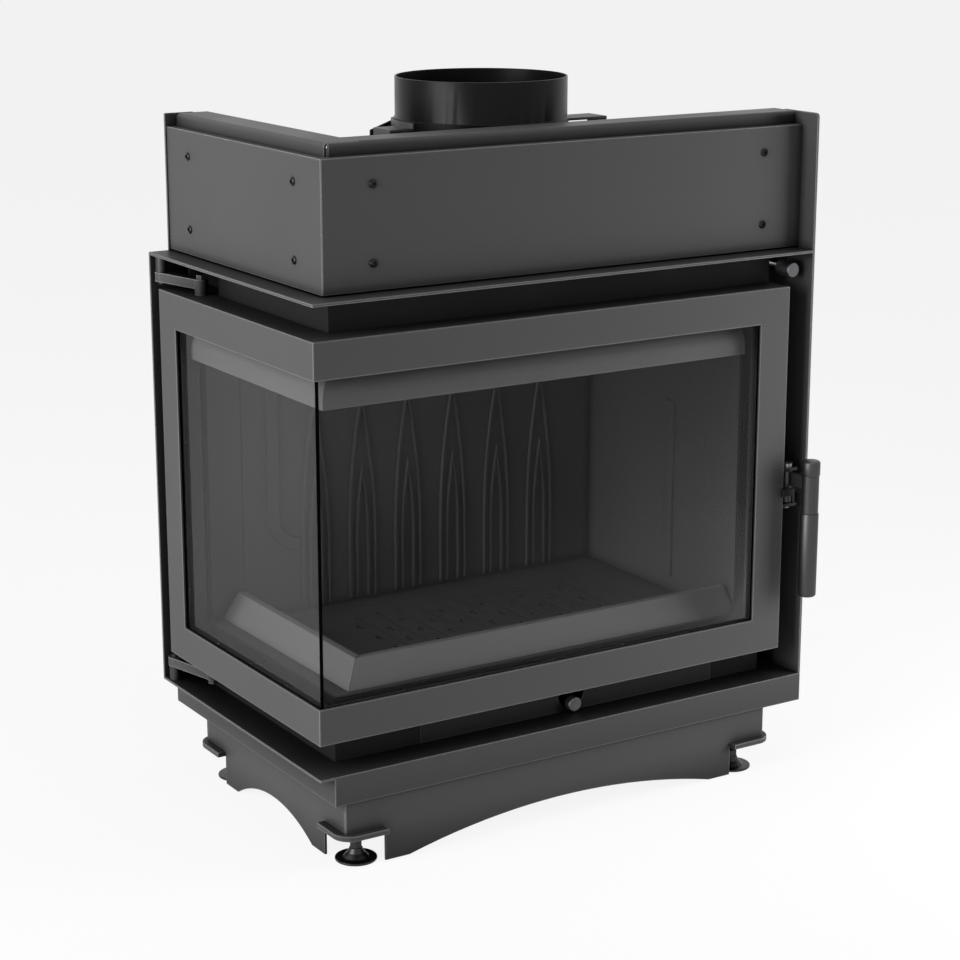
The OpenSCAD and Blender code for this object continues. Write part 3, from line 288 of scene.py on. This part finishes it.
def turned(profile, axis_mm, name, segments=48):
    """A turned piece from (radius, height) points in mm, closed at both ends on its axis.

    A radius may be a function of the angle, as for a hexagon socket."""
    shape = bmesh.new()
    rings = []
    for r, z in profile:
        reach = r if callable(r) else (lambda a, r=r: r)
        turns = [0.0] if r == 0 else [2 * pi * k / segments for k in range(segments)]
        rings.append([shape.verts.new((axis_mm[0] + reach(a) * cos(a), axis_mm[1] + reach(a) * sin(a), z))
                      for a in turns])
    for low, high in zip(rings, rings[1:]):
        for k in range(segments):
            j = (k + 1) % segments
            ring = [low[k % len(low)], low[j % len(low)], high[j % len(high)], high[k % len(high)]]
            ring = [v for i, v in enumerate(ring) if v not in ring[:i]]
            if len(ring) > 2:
                shape.faces.new(ring)
    bmesh.ops.recalc_face_normals(shape, faces=shape.faces)
    bmesh.ops.scale(shape, vec=(0.001, 0.001, 0.001), verts=shape.verts)
    mesh = bpy.data.meshes.new(name)
    shape.to_mesh(mesh)
    shape.free()
    return mesh


def prism(sides, across_flats, low, high, axis_mm, name):
    """A regular prism, such as a spanner hexagon, in mm."""
    r = across_flats / 2 / cos(pi / sides)
    return turned([(0, low), (r, low), (r, high), (0, high)], axis_mm, name, sides)


def joined(name, *meshes):
    """One mesh from several."""
    shape = bmesh.new()
    for mesh in meshes:
        shape.from_mesh(mesh)
    mesh = bpy.data.meshes.new(name)
    shape.to_mesh(mesh)
    shape.free()
    return mesh


# A foot's radii and heights in mm. Its M10 fine thread is drawn as rings, not
# as a helix.
pad_r, pad_t, cone_top, hexagon_top, stem_top = 23.9, 3, 14, 22, 75
crest_r, root_r, pitch = 4.95, 4.35, 1.25
thread = []
z = float(hexagon_top)
while z < stem_top - 2:
    thread += [(crest_r, z), (crest_r, z + 0.3), (root_r, z + 0.75), (root_r, z + 0.95)]
    z += pitch
foot_profile = ([(0, 0), (pad_r - 0.7, 0), (pad_r, 0.7), (pad_r, pad_t - 0.6), (pad_r - 0.7, pad_t),
                 (15.8, pad_t), (14.6, pad_t + 0.8), (10, 8.6), (8, 12), (7.4, cone_top - 0.1),
                 (5, cone_top), (crest_r, hexagon_top - 0.1)]
                + thread + [(4.4, stem_top - 1.1), (3.6, stem_top), (0, stem_top)])
for corner in ("front_left", "front_right", "rear_right", "rear_left"):
    node = "foot_" + corner
    low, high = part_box(node)
    axis = [(low[i] + high[i]) * 500 for i in (0, 1)]
    body = turned(foot_profile, axis, node)
    hexagon = prism(6, 12.9, cone_top, hexagon_top, axis, node)
    finished(node + "_turned", joined(node, body, hexagon), corner + "_foot",
             blackened, 0.25, 1, [node])


# Tray, side plate and rear plate
# Folded sheet that carries the firebox: the tray with its skirt, the plate on
# the right, whose front strip runs up and ends the hood, and the closed back.
eased("tray", "casing", wide_shade_black, 0.7)
eased("side_plate", "casing", narrow_shade_black, 0.7)
eased("rear_plate", "casing", satin_black, 0.7)


# Lip and hinge pins
# A flat L-shaped plate over the door, welded to the casing, with the two
# hinge pins pressed into it and into the tray. Pins of dull, oiled steel.
eased("lip_frame", "casing", satin_black, 0.8)
pin_steel = metal("dull pin steel", "#3c3d3f", 0.5, 1.2, bump_mm=0.006)
dressed("hinge_pins", pin_steel)


# Firebox, lower panel, baffle and dome
# Welded steel in matt heat-resistant paint, sprayed on, with a dry and
# slightly speckled face. The lower panel lifts off to reach the air slide.
def sprayed(name, colour, rough, fleck_mm, bump_mm, gloss_level=0.3, reach_mm=45):
    """Sprayed stove paint with fine flecks, a soft cloudiness and painted shade towards inner corners."""
    made, tree, out = blank(name)
    place = add(tree, "ShaderNodeTexCoord").outputs["Object"]
    fleck = add(tree, "ShaderNodeTexNoise", inputs={"Vector": place, "Scale": 1000 / fleck_mm,
                                                    "Detail": 5.0, "Roughness": 0.65})
    cloud = add(tree, "ShaderNodeTexNoise", inputs={"Vector": place, "Scale": 1000 / 90, "Detail": 3.0})
    both = add(tree, "ShaderNodeMath", {"operation": "ADD"},
               {0: fleck.outputs["Fac"], 1: cloud.outputs["Fac"]})
    shade = add(tree, "ShaderNodeMapRange", inputs={"Value": both.outputs[0], "From Min": 0.6,
                                                    "From Max": 1.4, "To Min": 0.9, "To Max": 1.1})
    tone = add(tree, "ShaderNodeHueSaturation",
               inputs={"Color": hexed(colour), "Value": painted_corner_shade(tree, shade.outputs[0], reach_mm)})
    gloss = add(tree, "ShaderNodeMapRange", inputs={"Value": cloud.outputs["Fac"], "From Min": 0.3,
                                                    "From Max": 0.7, "To Min": rough - 0.06,
                                                    "To Max": rough + 0.06})
    bump = add(tree, "ShaderNodeBump", inputs={"Height": fleck.outputs["Fac"], "Strength": 1.0,
                                               "Distance": bump_mm / 1000})
    skin = add(tree, "ShaderNodeBsdfPrincipled", inputs={
        "Base Color": tone.outputs[0], "Roughness": gloss.outputs[0], "Specular IOR Level": gloss_level,
        "Normal": bump.outputs[0]})
    tree.links.new(skin.outputs[0], out.inputs["Surface"])
    return made


stove_paint = sprayed("matt stove paint", "#1b1b1c", 0.62, 1.4, 0.02, 0.2)
eased("firebox_shell", "casing", stove_paint, 0.5)
eased("lower_panel", "casing", wide_shade_black, 0.5)
eased("smoke_dome", "casing", stove_paint, 1.5)
enamel = coated("enamelled canopy", "#6a6a6b", 0.36, 3.0, 0.004, reach_mm=10)
eased("air_wash_canopy", "casing", enamel, 0.4)

vermiculite, tree, out = blank("pressed vermiculite")
place = add(tree, "ShaderNodeTexCoord").outputs["Object"]
flakes = add(tree, "ShaderNodeTexVoronoi", inputs={"Vector": place, "Scale": 1000 / 4})
tone = add(tree, "ShaderNodeMix", {"data_type": "RGBA"},
           {0: flakes.outputs["Distance"], 6: hexed("#b6a47c"), 7: hexed("#8d7b58")})
bump = add(tree, "ShaderNodeBump", inputs={"Height": flakes.outputs["Distance"], "Distance": 0.0004})
skin = add(tree, "ShaderNodeBsdfPrincipled", inputs={
    "Base Color": tone.outputs[2], "Roughness": 0.92, "Normal": bump.outputs[0]})
tree.links.new(skin.outputs[0], out.inputs["Surface"])
dressed("smoke_baffle", vermiculite)


# Hearth, grate, ash pan, linings and log guards
# Grey iron castings in stove paint. The sand leaves a grain of about a
# millimetre, and the raised lancets on the back are cast with soft edges.
cast_iron = sprayed("painted cast iron", "#444445", 0.46, 1.2, 0.006, 0.35, 14)
eased("hearth_plate", "casing", cast_iron, 1.0)
eased("grate", "fire_grate", cast_iron, 0.25)
eased("back_lining", "casing", cast_iron, 1.3, 3)
eased("right_lining", "casing", cast_iron, 1.2, 3)
guard_iron = coated("smooth painted iron", "#767677", 0.42, 3.0, 0.003, 0.5, 0.2, 12)
eased("log_guard_front", "front_guard", guard_iron, 1.0, 3)
eased("log_guard_left", "left_guard", guard_iron, 1.0, 3)
eased("ash_pan", "pan", stove_paint, 0.5)


# Flue collar and air inlet
# Rolled and welded tubes, the collar sprayed in a glossier stove paint.
gloss_paint = sprayed("glossy stove paint", "#0b0b0c", 0.34, 1.6, 0.004, 0.12)
eased("flue_collar", "casing", gloss_paint, 0.5)
eased("inlet_spigot", "casing", stove_paint, 0.5)


# Hood: rims and cover panels
# Folded angle on the lip, and screwed-on covers that can be taken off to
# cut the hood to the wall. Powder coated with the casing.
dressed("hood_rim_front", satin_black)
eased("hood_rim_left", "casing", satin_black, 0.5)
eased("cover_panel_front", "casing", narrow_shade_black, 0.6)
eased("cover_panel_left", "casing", narrow_shade_black, 0.6)


# Cover screws
# Eight M5 button heads with a hexagon socket, in black oxide. Each stands
# on a point of a small mesh, and the point's attribute "way" says which way
# it faces. The clamp strips' screws inside the door are made the same way.
def socket_head(wide, tall):
    """A button head with a hexagon socket, standing on z = 0 and facing +Z, in mm."""
    def hexagon(a):
        """How far the socket's wall is from the axis at the angle a."""
        return wide / 5.2 / cos(a % (pi / 3) - pi / 6)

    def mouth(a):
        """The same at the socket's chamfered mouth."""
        return hexagon(a) + 0.3

    rim, sunk = 0.25, 0.4
    bow = [(wide / 2 * cos(t), rim + (tall - rim) * sin(t)) for t in (0, 0.25, 0.5, 0.75, 0.95, 1.1)]
    return turned([(0, -sunk), (wide / 2 - 0.2, -sunk), (wide / 2, 0)] + bow
                  + [(mouth, tall), (hexagon, tall - 0.25), (hexagon, tall / 2.6), (0, tall / 2.9)],
                  (0, 0), "head")


def seats_of(node, inward):
    """Each screw in a CAD node: its middle, its way, its tip along that way, and its axis."""
    shape = bmesh.new()
    shape.from_mesh(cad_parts[node].data)
    bmesh.ops.remove_doubles(shape, verts=shape.verts, dist=same_point)
    middle = sum((Vector(corner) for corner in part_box(node)), Vector()) / 2
    left, seats = set(shape.verts), []
    while left:
        found = group = {left.pop()}
        while group:
            group = {e.other_vert(v) for v in group for e in v.link_edges} & left
            left -= group
            found = found | group
        low = Vector([min(v.co[i] for v in found) for i in range(3)])
        high = Vector([max(v.co[i] for v in found) for i in range(3)])
        axis = min(range(3), key=lambda i: high[i] - low[i])
        seat, way = (low + high) / 2, Vector()
        way[axis] = 1 if (middle[axis] > seat[axis]) == inward else -1
        seats.append((seat, way, low[axis] if way[axis] < 0 else high[axis], axis))
    shape.free()
    return sorted(seats, key=lambda found: tuple(round(c, 4) for c in found[0]))


def heads_on_seats():
    """Geometry nodes that put one turned head on each point, facing along the point's way."""
    tree = bpy.data.node_groups.new("heads on seats", "GeometryNodeTree")
    for label, kind in (("Seats", "NodeSocketGeometry"), ("Head", "NodeSocketObject"),
                        ("Most turn", "NodeSocketFloat"), ("Finish", "NodeSocketMaterial")):
        tree.interface.new_socket(label, in_out="INPUT", socket_type=kind)
    tree.interface.new_socket("Heads", in_out="OUTPUT", socket_type="NodeSocketGeometry")
    given = tree.nodes.new("NodeGroupInput")
    way = add(tree, "GeometryNodeInputNamedAttribute", {"data_type": "FLOAT_VECTOR"}, {"Name": "way"})
    facing = add(tree, "FunctionNodeAlignRotationToVector", {"axis": "Z"},
                 {"Vector": way.outputs["Attribute"]})
    angle = add(tree, "FunctionNodeRandomValue", {"data_type": "FLOAT"},
                {2: 0.0, 3: given.outputs["Most turn"], 8: 5})
    spin = add(tree, "ShaderNodeCombineXYZ", inputs={"Z": angle.outputs[1]})
    turn = add(tree, "FunctionNodeEulerToRotation", inputs={0: spin.outputs[0]})
    stand = add(tree, "FunctionNodeRotateRotation", {"rotation_space": "LOCAL"},
                {0: facing.outputs[0], 1: turn.outputs[0]})
    head = add(tree, "GeometryNodeObjectInfo", inputs={"Object": given.outputs["Head"]})
    put = add(tree, "GeometryNodeInstanceOnPoints", inputs={
        "Points": given.outputs["Seats"], "Instance": head.outputs["Geometry"],
        "Rotation": stand.outputs[0]})
    real = add(tree, "GeometryNodeRealizeInstances", inputs={0: put.outputs[0]})
    done = add(tree, "GeometryNodeSetMaterial",
               inputs={0: real.outputs[0], "Material": given.outputs["Finish"]})
    add(tree, "NodeGroupOutput", inputs={0: done.outputs[0]})
    return tree


heads = heads_on_seats()


def screwed(node, body, material, wide, tall, inward):
    """Socket heads on all the seats of a CAD node, in its place, sized in mm."""
    points = bpy.data.meshes.new(node)
    places, ways = [], []
    for seat, way, tip, axis in seats_of(node, inward):
        seat[axis] = tip - way[axis] * tall / 1000
        places.append(seat)
        ways += list(way)
    points.from_pydata(places, [], [])
    points.attributes.new("way", "FLOAT_VECTOR", "POINT").data.foreach_set("vector", ways)
    field = linked(node + "_heads", points)
    pattern = linked("head", socket_head(wide, tall))
    step = field.modifiers.new("heads", "NODES")
    step.node_group = heads
    values = {"Head": pattern, "Most turn": radians(60), "Finish": material}
    for item in heads.interface.items_tree:
        if item.name in values:
            step[item.identifier] = values[item.name]
    graph = bpy.context.evaluated_depsgraph_get()
    mesh = bpy.data.meshes.new_from_object(field.evaluated_get(graph))
    for made in (field, pattern):
        bpy.data.objects.remove(made)
    finished(node + "_heads", mesh, body, material, 0, 0, [node])


black_oxide = metal("black oxide", "#29292a", 0.3, 0.8)
screwed("cover_screws", "casing", black_oxide, 9.5, 2.8, False)
screwed("clamp_screws", "door", pin_steel, 5.0, 2.0, True)


# Damper: shaft, bearings, flap, rod, link and knob
# A round flap in the collar on a turned shaft, which two grey painted straps
# carry. The left one has a black gusset. A pull rod beside the firebox
# carries an upright link that swings the shaft's crank.
zinc = metal("zinc plated steel", "#9c9da0", 0.36, 1.2, bump_mm=0.006)
for node in ("damper_shaft", "damper_rod", "air_rod", "air_shutter"):
    dressed(node, zinc)
strap_paint = sprayed("grey strap paint", "#606061", 0.5, 1.2, 0.006, 0.15)
straps = eased("damper_bearings", "casing", strap_paint, 0.4)
straps.data.materials.append(stove_paint)
gusset_t = 0.0032
gusset_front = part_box("damper_bearings")[1][1] - gusset_t
for face in straps.data.polygons:
    face.material_index = int(face.center.y > gusset_front)
dressed("damper_flap", stove_paint)
eased("rod_guides", "casing", satin_black, 0.4)
turned_black = metal("turned and blackened steel", "#4b4b4c", 0.44, 0.9, bump_mm=0.01)
turned_grey = metal("turned grey steel", "#7b7c7e", 0.46, 0.9, bump_mm=0.01)


def knob(node, body):
    """A turned knob that faces the front, with a slightly hollow face and a rounded rim."""
    low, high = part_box(node)
    r, length = (high[0] - low[0]) * 500, (high[1] - low[1]) * 1000
    mesh = turned([(0, 0.35), (r - 2.4, 0.2), (r - 1.5, 0), (r - 0.8, 0.15), (r - 0.15, 0.8), (r, 1.4),
                   (r, length - 0.4), (r - 0.4, length), (4.2, length), (0, length)], (0, 0), node)
    mesh.transform(Matrix.Translation(((low[0] + high[0]) / 2, low[1], (low[2] + high[2]) / 2))
                   @ Matrix.Rotation(radians(-90), 4, "X"))
    return finished(node + "_turned", mesh, body, turned_grey, 0, 0, [node])


knob("damper_knob", "damper_pull_rod")
knob("air_knob", "air_control")


# Door frame
# Rails and stiles of rolled section, welded and ground flush, so that no
# joint shows. No post stands at the front left corner. Textured anthracite.
def block(low, high):
    """A box between two corners in mm."""
    shape = bmesh.new()
    bmesh.ops.create_cube(shape, size=1)
    for v in shape.verts:
        v.co = [(a if c < 0 else b) / 1000 for c, a, b in zip(v.co, low, high)]
    mesh = bpy.data.meshes.new("block")
    shape.to_mesh(mesh)
    shape.free()
    return mesh


def cut(name, whole, *holes):
    """The first mesh with the others taken out of it."""
    body = linked(name, whole)
    for hole in holes:
        tool = linked("tool", hole)
        step = body.modifiers.new("cut", "BOOLEAN")
        step.operation, step.object, step.solver = "DIFFERENCE", tool, "EXACT"
    graph = bpy.context.evaluated_depsgraph_get()
    mesh = bpy.data.meshes.new_from_object(body.evaluated_get(graph))
    for made in [m.object for m in body.modifiers] + [body]:
        bpy.data.objects.remove(made)
    return mesh


door_members = ["door_top_front", "door_top_left", "door_bottom_front", "door_bottom_left",
                "latch_stile", "hinge_stile"]
member_boxes = [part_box(node) for node in door_members]
left, front, sill = [round(min(low[i] for low, high in member_boxes) * 1000, 3) for i in range(3)]
right, rear, head = [round(max(high[i] for low, high in member_boxes) * 1000, 3) for i in range(3)]
# In mm: the members' depth and the width of their face, and the panes' seat,
# which is cut in behind a skin and leaves a rim of the members outside it.
# The cutter of the opening stands out in front by clear_of.
depth, face_w, rim_w, skin_t = 36, 42, 28, 3
clear_of = 5
outline = [(left, front), (right, front), (right, front + depth), (left + depth, front + depth),
           (left + depth, rear), (left, rear)]
shape = bmesh.new()
foot_ring = shape.faces.new([shape.verts.new((x / 1000, y / 1000, sill / 1000)) for x, y in outline])
top = bmesh.ops.extrude_face_region(shape, geom=[foot_ring])
bmesh.ops.translate(shape, vec=(0, 0, (head - sill) / 1000),
                    verts=[v for v in top["geom"] if isinstance(v, bmesh.types.BMVert)])
bmesh.ops.recalc_face_normals(shape, faces=shape.faces)
slab = bpy.data.meshes.new("slab")
shape.to_mesh(slab)
shape.free()
sight = block((left - clear_of, front - clear_of, sill + face_w),
              (right - face_w, rear - face_w, head - face_w))
seat = block((left + skin_t, front + skin_t, sill + rim_w), (right - rim_w, rear - rim_w, head - rim_w))
textured = coated("fine-textured anthracite powder coat", "#4a4a4b", 0.46, 1.8, 0.015)
finished("door_frame", cut("frame", slab, sight, seat), "door", textured, 0.9, 3,
         door_members)


# Glass, clamp strips and rope seal
# Two panes of 4 mm ceramic glass meet edge to edge at the corner, and their
# edges are ground and dark. The glass is clear with a faint grey tint.
pane, tree, out = blank("ceramic glass")
place = add(tree, "ShaderNodeTexCoord").outputs["Object"]
haze = add(tree, "ShaderNodeTexNoise", inputs={"Vector": place, "Scale": 1000 / 160, "Detail": 3.0})
dust = add(tree, "ShaderNodeMapRange", inputs={"Value": haze.outputs["Fac"], "From Min": 0.35,
                                               "From Max": 0.75, "To Min": 0.0, "To Max": 0.002})
clear = add(tree, "ShaderNodeBsdfTransparent", inputs={"Color": hexed("#f0f0f0")})
shine = add(tree, "ShaderNodeBsdfGlossy", inputs={"Color": (1, 1, 1, 1), "Roughness": 0.03})
film = add(tree, "ShaderNodeBsdfDiffuse", inputs={"Color": hexed("#c9c9c9")})
angle = add(tree, "ShaderNodeFresnel", inputs={"IOR": 1.5})
weak = add(tree, "ShaderNodeMath", {"operation": "MULTIPLY"}, {0: angle.outputs[0], 1: 0.08})
glazed = add(tree, "ShaderNodeMixShader",
             inputs={0: weak.outputs[0], 1: clear.outputs[0], 2: shine.outputs[0]})
dusty = add(tree, "ShaderNodeMixShader",
            inputs={0: dust.outputs[0], 1: glazed.outputs[0], 2: film.outputs[0]})
tree.links.new(dusty.outputs[0], out.inputs["Surface"])
ground, tree, out = blank("dark ground edge")
skin = add(tree, "ShaderNodeBsdfDiffuse", inputs={"Color": hexed("#060607")})
tree.links.new(skin.outputs[0], out.inputs["Surface"])
# Each pane's faces look along one axis, 1 for Y and 0 for X, and its edges don't.
for node, across in (("front_glass", 1), ("side_glass", 0)):
    dressed(node, pane)
    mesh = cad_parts[node].data
    mesh.materials.append(ground)
    for face in mesh.polygons:
        face.material_index = int(abs(face.normal[across]) < 0.5)
eased("glass_clamps", "door", satin_black, 0.6)

rope, tree, out = blank("braided glass-fibre rope")
place = add(tree, "ShaderNodeTexCoord").outputs["Object"]
strands = add(tree, "ShaderNodeTexWave", {"bands_direction": "DIAGONAL"},
              {"Vector": place, "Scale": 1000 / 12, "Distortion": 2.0, "Detail": 2.0})
tone = add(tree, "ShaderNodeMix", {"data_type": "RGBA"},
           {0: strands.outputs["Fac"], 6: hexed("#1b1b1a"), 7: hexed("#1f1e1d")})
bump = add(tree, "ShaderNodeBump", inputs={"Height": strands.outputs["Fac"], "Distance": 0.00005})
skin = add(tree, "ShaderNodeBsdfPrincipled", inputs={
    "Base Color": tone.outputs[2], "Roughness": 0.9, "Normal": bump.outputs[0]})
tree.links.new(skin.outputs[0], out.inputs["Surface"])
eased("door_gasket", "door", rope, 1.5, 3)


# Hinge arms
# Two solid steel bars on the pins, each screwed to the door's rail.
dressed("hinge_arms", textured)


# Latch: bracket, pin and keeper
# Folded steel on the door's edge, with a bright pin through its two ears,
# and the keeper on the side plate.
eased("latch_mount", "door", blackened, 0.4)
dressed("latch_pin", zinc)
dressed("latch_keeper", zinc)


# Handle
# A lever on the pin, with a turned cap and grip on its core. Both are
# rounded at the ends, so a fine dark line parts them from the neck.
eased("handle_lever", "handle", turned_black, 0.5)
low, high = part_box("handle_grip")
axis = [(low[i] + high[i]) * 500 for i in (0, 1)]
r = 11
z0, z1 = low[2] * 1000, high[2] * 1000
grip = [(0, z0), (r - 2.4, z0), (r - 1.6, z0 + 0.3), (r - 0.2, z0 + 1.8), (r, z0 + 2.6),
        (r, z1 - 0.8), (r - 0.3, z1 - 0.2), (r - 0.8, z1), (0, z1)]
z2, z3 = [corner[2] * 1000 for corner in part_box("handle_cap")]
cap = [(0, z2), (r - 0.7, z2), (r - 0.2, z2 + 0.3), (r, z2 + 0.9),
       (r, z3 - 2.4), (r - 0.4, z3 - 1.4), (r - 1.4, z3 - 0.4), (r - 2.2, z3), (0, z3)]
for node, profile in (("handle_grip", grip), ("handle_cap", cap)):
    finished(node + "_turned", turned(profile, axis, node, 64), "handle", turned_black,
             0, 0, [node])
